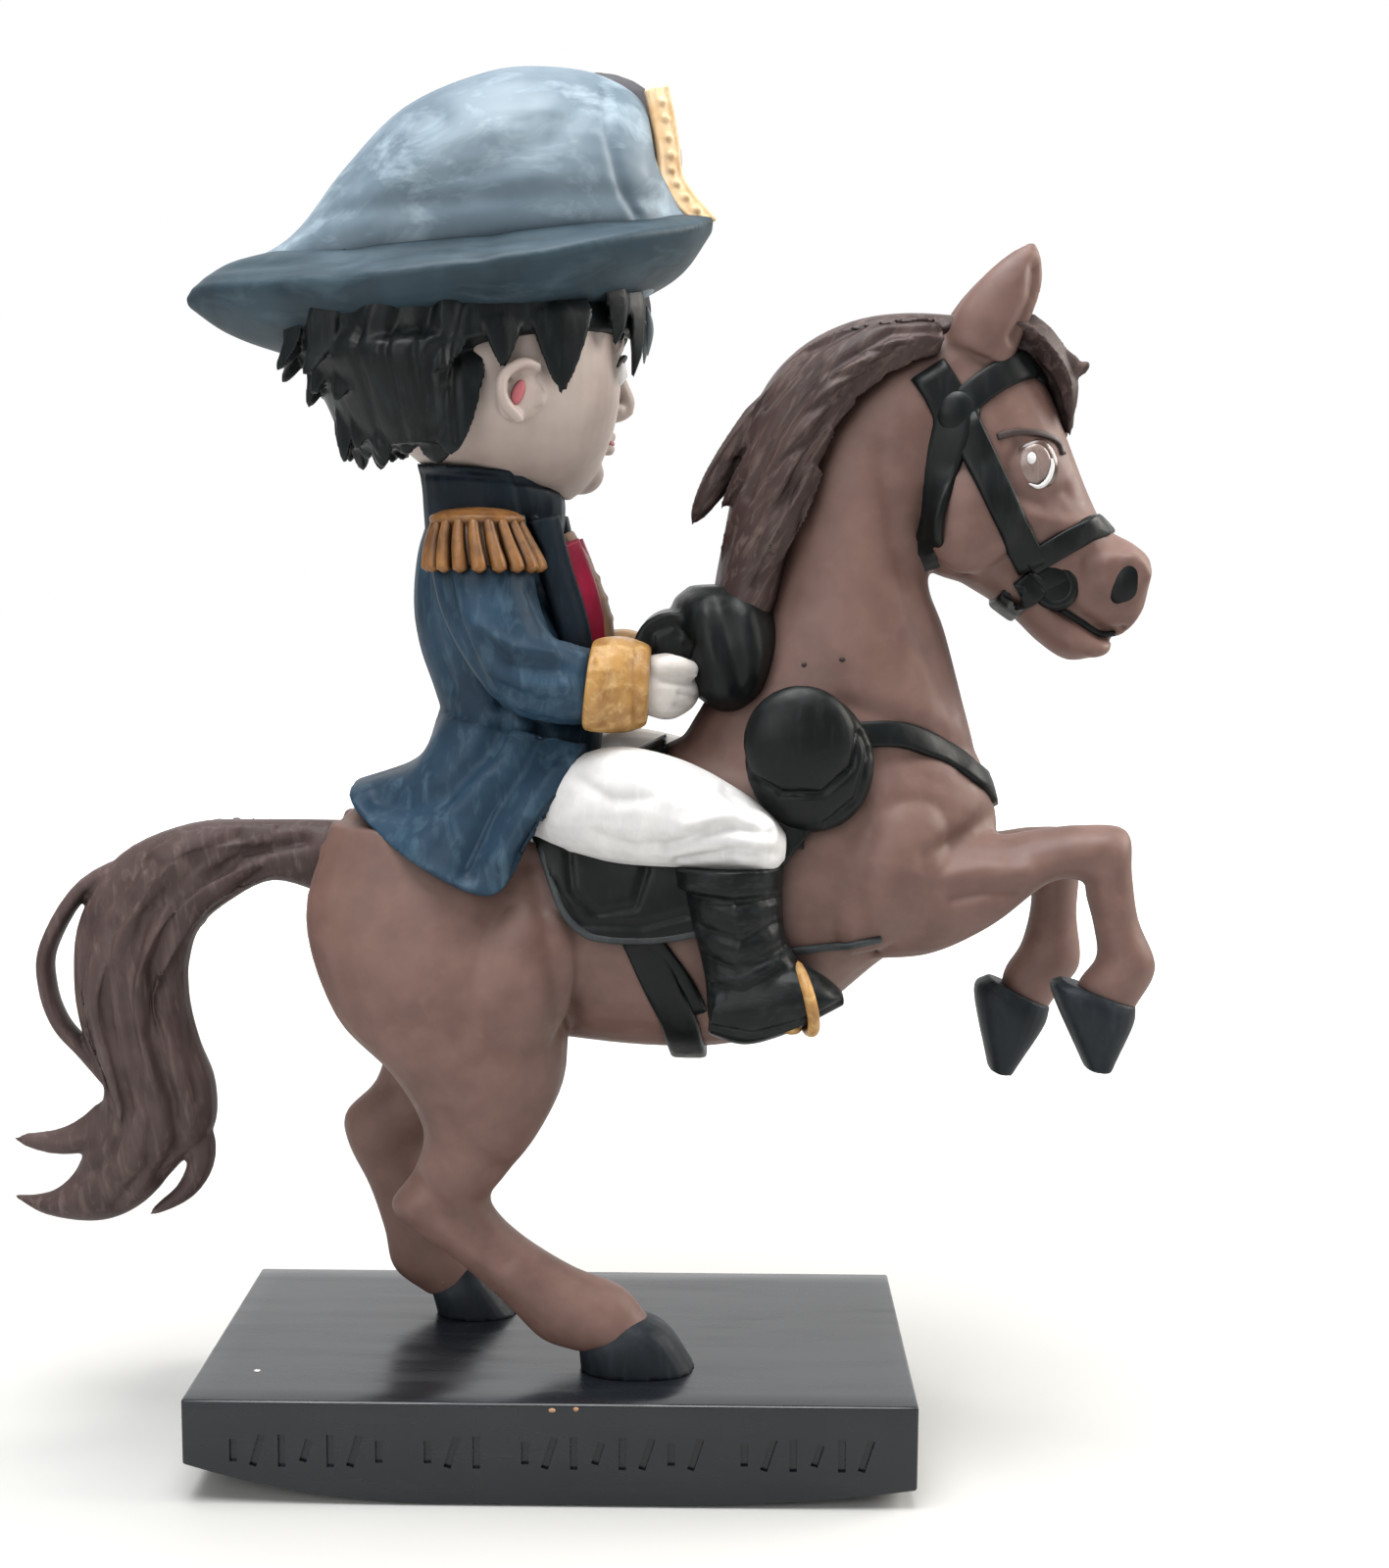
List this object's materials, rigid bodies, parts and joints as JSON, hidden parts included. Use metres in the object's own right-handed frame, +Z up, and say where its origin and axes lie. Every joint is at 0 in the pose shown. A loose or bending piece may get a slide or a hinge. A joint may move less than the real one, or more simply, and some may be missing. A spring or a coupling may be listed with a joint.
{
  "type": "equestrian statuette",
  "caption": "Painted statuette of a large-headed rider in cocked hat and tailcoat on a rearing horse, moulded in one piece and standing on a rectangular plinth.",
  "frame": {"origin": "middle of the plinth's underside, on the surface it stands on", "axes": "+Z up, +X the way the horse faces, +Y to the horse's left, so the side that shows its near legs and the worn lettering faces -Y"},
  "size_m": [0.1628, 0.0509, 0.195],
  "materials": {
    "painted_figure": "hand-painted satin acrylic over a moulded plastic figure",
    "dark_plinth": "semi-gloss dark grey paint"
  },
  "bodies": {
    "root": {"horse_and_rider": "painted_figure", "plinth": "dark_plinth"}
  },
  "joints": []
}
